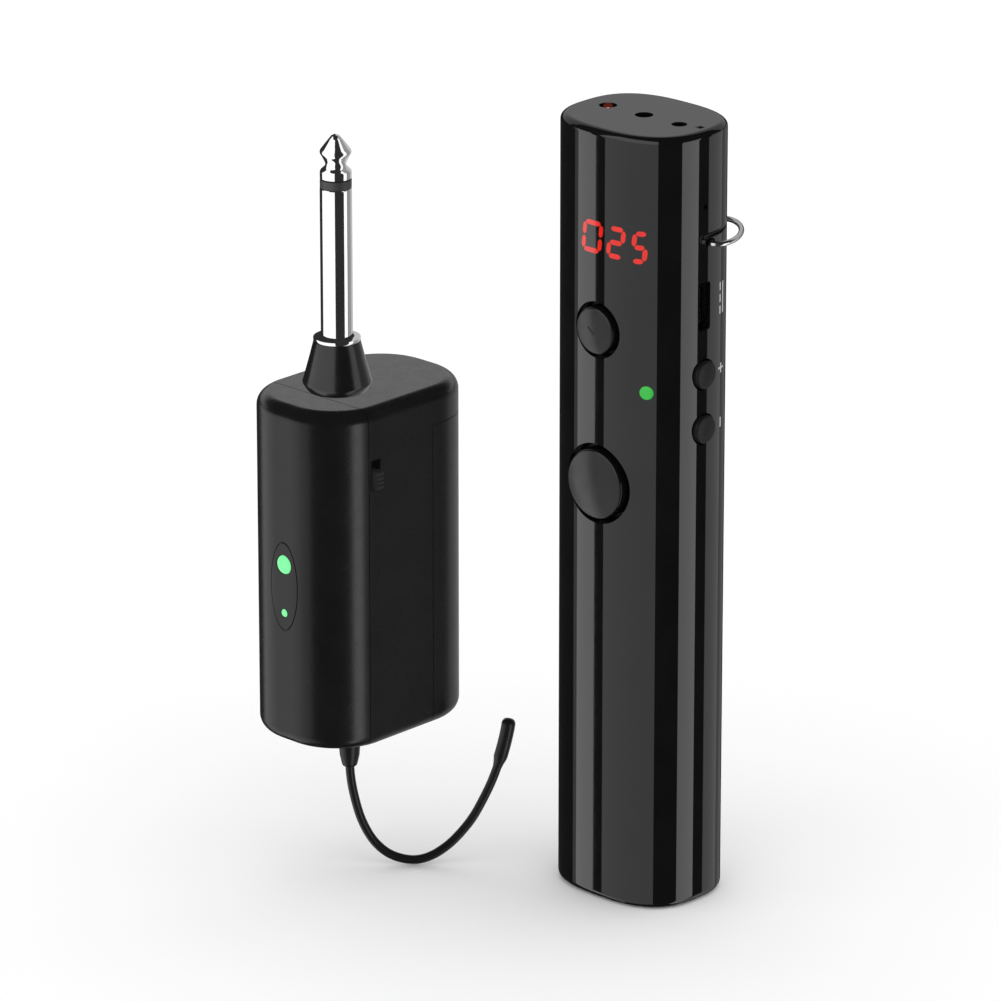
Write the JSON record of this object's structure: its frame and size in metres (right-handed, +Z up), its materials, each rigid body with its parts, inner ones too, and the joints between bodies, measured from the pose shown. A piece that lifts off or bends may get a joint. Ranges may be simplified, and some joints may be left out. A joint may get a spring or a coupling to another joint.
{
  "type": "wireless guitar transmitter",
  "caption": "Paired wireless audio set: a glossy black stick transmitter with buttons and display, and a plug-on receiver with a 6.35 mm plug and a whip antenna.",
  "frame": {"origin": "centre of the transmitter's flat base, on the surface it stands on", "axes": "+Z up along the transmitter, X along its wide side, and its front with the two round buttons faces -Y"},
  "size_m": [0.0813, 0.0682, 0.1598],
  "materials": {
    "gloss_black": "polished black plastic",
    "satin_black": "satin moulded black plastic",
    "chassis_black": "plain moulded plastic",
    "board_green": "circuit board with solder mask",
    "part_black": "moulded component body",
    "lamp_red": "clear red lamp body",
    "lamp_green": "green light pipe",
    "lamp_mint": "lit mint-green plastic",
    "steel": "plated steel",
    "chrome": "bright nickel plating",
    "cell_wrap": "metal can in a shrunk plastic sleeve",
    "antenna_rubber": "soft matt black rubber"
  },
  "bodies": {
    "transmitter": {"tx_housing": "gloss_black", "tx_base_cap": "satin_black", "tx_chassis": "chassis_black", "tx_main_board": "board_green", "tx_side_board": "board_green", "tx_battery": "cell_wrap", "tx_contact_low": "steel", "tx_contact_high": "steel", "tx_display": "part_black", "tx_power_switch": "part_black", "tx_talk_switch": "part_black", "tx_volume_up_switch": "part_black", "tx_volume_down_switch": "part_black", "tx_status_light": "lamp_green", "tx_charge_socket": "steel", "tx_phone_jack": "part_black", "tx_microphone": "steel", "tx_signal_lamp": "lamp_red", "tx_antenna_wire": "steel", "tx_cap_screw_left": "steel", "tx_cap_screw_right": "steel", "tx_board_screw_lower": "steel", "tx_board_screw_upper": "steel"},
    "receiver": {"rx_front_shell": "satin_black", "rx_rear_shell": "satin_black", "rx_light_plate": "gloss_black", "rx_power_light": "lamp_mint", "rx_front_board": "board_green", "rx_pair_switch": "part_black", "rx_slide_switch": "part_black", "rx_plug_tip": "chrome", "rx_plug_insulator": "part_black", "rx_plug_sleeve": "chrome", "rx_plug_washer": "chrome", "rx_plug_boot": "satin_black", "rx_plug_nut": "steel", "rx_main_board": "board_green", "rx_board_screw_left": "steel", "rx_board_screw_right": "steel", "rx_cell_left": "cell_wrap", "rx_cell_right": "cell_wrap", "rx_contact_left": "steel", "rx_contact_right": "steel", "rx_contact_bridge": "steel", "rx_antenna_relief": "antenna_rubber", "rx_antenna_whip": "antenna_rubber", "rx_antenna_tip": "antenna_rubber"},
    "power_button": {"tx_power_button": "gloss_black"},
    "talk_button": {"tx_talk_button": "gloss_black"},
    "volume_up_button": {"tx_volume_up_button": "satin_black"},
    "volume_down_button": {"tx_volume_down_button": "satin_black"},
    "lanyard_bail": {"tx_lanyard_bail": "chrome"},
    "battery_door": {"rx_battery_door": "satin_black"},
    "pair_button": {"rx_pair_button": "lamp_mint"},
    "switch_knob": {"rx_switch_knob": "satin_black"}
  },
  "joints": [
    {"name": "power_button_press", "type": "slide", "parent": "transmitter", "child": "power_button", "axis": [0, 1, 0], "range_m": [0, 0.0006], "stiffness_N_per_m": 1500, "springref_m": -0.0004},
    {"name": "talk_button_press", "type": "slide", "parent": "transmitter", "child": "talk_button", "axis": [0, 1, 0], "range_m": [0, 0.0007], "stiffness_N_per_m": 1500, "springref_m": -0.0004},
    {"name": "volume_up_press", "type": "slide", "parent": "transmitter", "child": "volume_up_button", "axis": [-1, 0, 0], "range_m": [0, 0.0006], "stiffness_N_per_m": 1500, "springref_m": -0.0004},
    {"name": "volume_down_press", "type": "slide", "parent": "transmitter", "child": "volume_down_button", "axis": [-1, 0, 0], "range_m": [0, 0.0006], "stiffness_N_per_m": 1500, "springref_m": -0.0004},
    {"name": "bail_swing", "type": "hinge", "parent": "transmitter", "child": "lanyard_bail", "pos_m": [0.01195, 0.0071, 0.1372], "axis": [-0.6, 0.8, 0], "range_deg": [-30, 30]},
    {"name": "receiver_lift", "type": "slide", "parent": "transmitter", "child": "receiver", "axis": [0, 0, 1], "range_m": [0, 0.06]},
    {"name": "battery_door_slide", "type": "slide", "parent": "receiver", "child": "battery_door", "axis": [0, 0, -1], "range_m": [0, 0.012]},
    {"name": "pair_button_press", "type": "slide", "parent": "receiver", "child": "pair_button", "axis": [0, 1, 0], "range_m": [0, 0.0004], "stiffness_N_per_m": 1500, "springref_m": -0.0004},
    {"name": "power_switch_slide", "type": "slide", "parent": "receiver", "child": "switch_knob", "axis": [0, 0, 1], "range_m": [0, 0.0017]}
  ]
}
